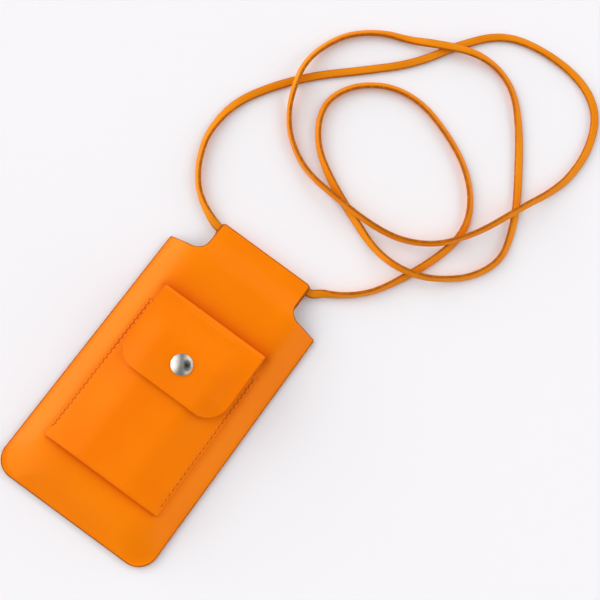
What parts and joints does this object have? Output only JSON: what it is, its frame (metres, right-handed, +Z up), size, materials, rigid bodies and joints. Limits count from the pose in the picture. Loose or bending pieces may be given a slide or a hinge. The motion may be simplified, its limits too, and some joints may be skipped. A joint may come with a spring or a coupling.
{
  "type": "phone pouch",
  "caption": "Smooth leather phone pouch with a notched neck, a snapped flap pocket on the front and a long flat neck lace.",
  "frame": {"origin": "middle of the pouch's back face, on the surface that it lies on", "axes": "+X across the pouch, +Y along it towards the neck, +Z up out of the front"},
  "size_m": [0.1983, 0.4049, 0.0237],
  "materials": {
    "leather": "smooth, softly glossy",
    "lining": "fine plain weave",
    "thread": "twisted sewing thread",
    "lace": "smooth, folded edges",
    "snap_metal": "polished"
  },
  "bodies": {
    "pouch": {"back_panel": "leather", "back_lining": "lining", "front_panel": "leather", "front_lining": "lining", "tunnel_stitches": "thread", "cord_in_tunnel": "lace", "neck_cord": "lace", "pocket_back_leaf": "leather", "pocket_front": "leather", "pocket_stitches_left": "thread", "pocket_stitches_right": "thread", "snap_stud": "snap_metal", "snap_stud_post": "snap_metal"},
    "pocket_flap": {"flap_leather": "leather", "flap_lining": "lining", "snap_cap": "snap_metal", "snap_socket": "snap_metal", "snap_spring": "snap_metal"},
    "front_lip": {"front_lip_leather": "leather", "front_lip_facing": "lining"}
  },
  "joints": [
    {"name": "flap_fold", "type": "hinge", "parent": "pouch", "child": "pocket_flap", "pos_m": [0, 0.039, 0.0157], "axis": [-1, 0, 0], "range_deg": [0, 150]},
    {"name": "lip_fold", "type": "hinge", "parent": "pouch", "child": "front_lip", "pos_m": [0, 0.0735, 0.0114], "axis": [1, 0, 0], "range_deg": [0, 45]}
  ]
}
